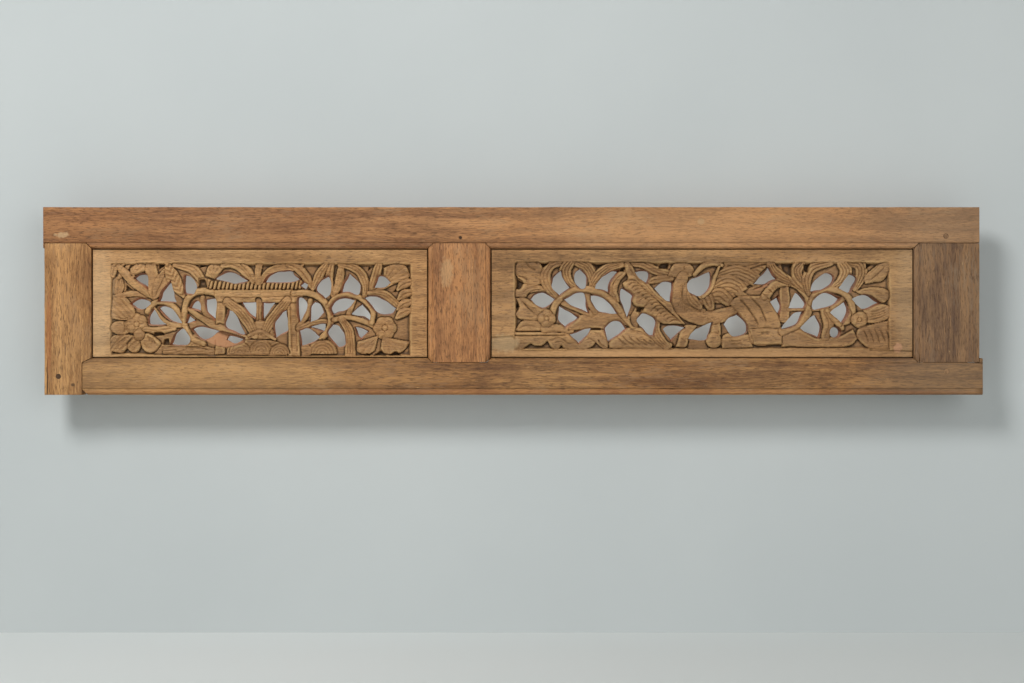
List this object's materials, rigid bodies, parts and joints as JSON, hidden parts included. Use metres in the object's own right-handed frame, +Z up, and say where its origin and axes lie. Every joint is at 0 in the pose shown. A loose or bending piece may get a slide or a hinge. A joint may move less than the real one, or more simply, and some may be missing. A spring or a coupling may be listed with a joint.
{
  "type": "carved wall panel",
  "caption": "Long old hardwood wall panel: pierced boards carved with scrolling leaves and a table, in a moulded and pegged frame, hung flat on a wall.",
  "frame": {"origin": "middle of the top rail's flat back, where the panel lies on the wall and hangs from it", "axes": "+X along the panel to the viewer's right, +Y into the wall, +Z up; the carving faces -Y"},
  "size_m": [1.5, 0.032, 0.3],
  "materials": {
    "top_rail": "worn old hardwood, waxed, mid brown",
    "bottom_rail": "worn old hardwood, warm brown with an orange lower bead",
    "left_stile": "worn old hardwood, golden tan",
    "muntin": "worn old hardwood, tan",
    "right_stile": "worn old hardwood, grey brown",
    "left_carved_panel": "carved hardwood, ochre brown, dark in the hollows",
    "right_carved_panel": "carved hardwood, brown, dark in the hollows",
    "pegs": "dark hardwood end grain"
  },
  "bodies": {
    "root": {"top_rail": "top_rail", "bottom_rail": "bottom_rail", "left_stile": "left_stile", "muntin": "muntin", "right_stile": "right_stile", "left_carved_panel": "left_carved_panel", "right_carved_panel": "right_carved_panel", "right_top_peg": "pegs", "right_foot_peg": "pegs", "left_foot_peg": "pegs"}
  },
  "joints": []
}
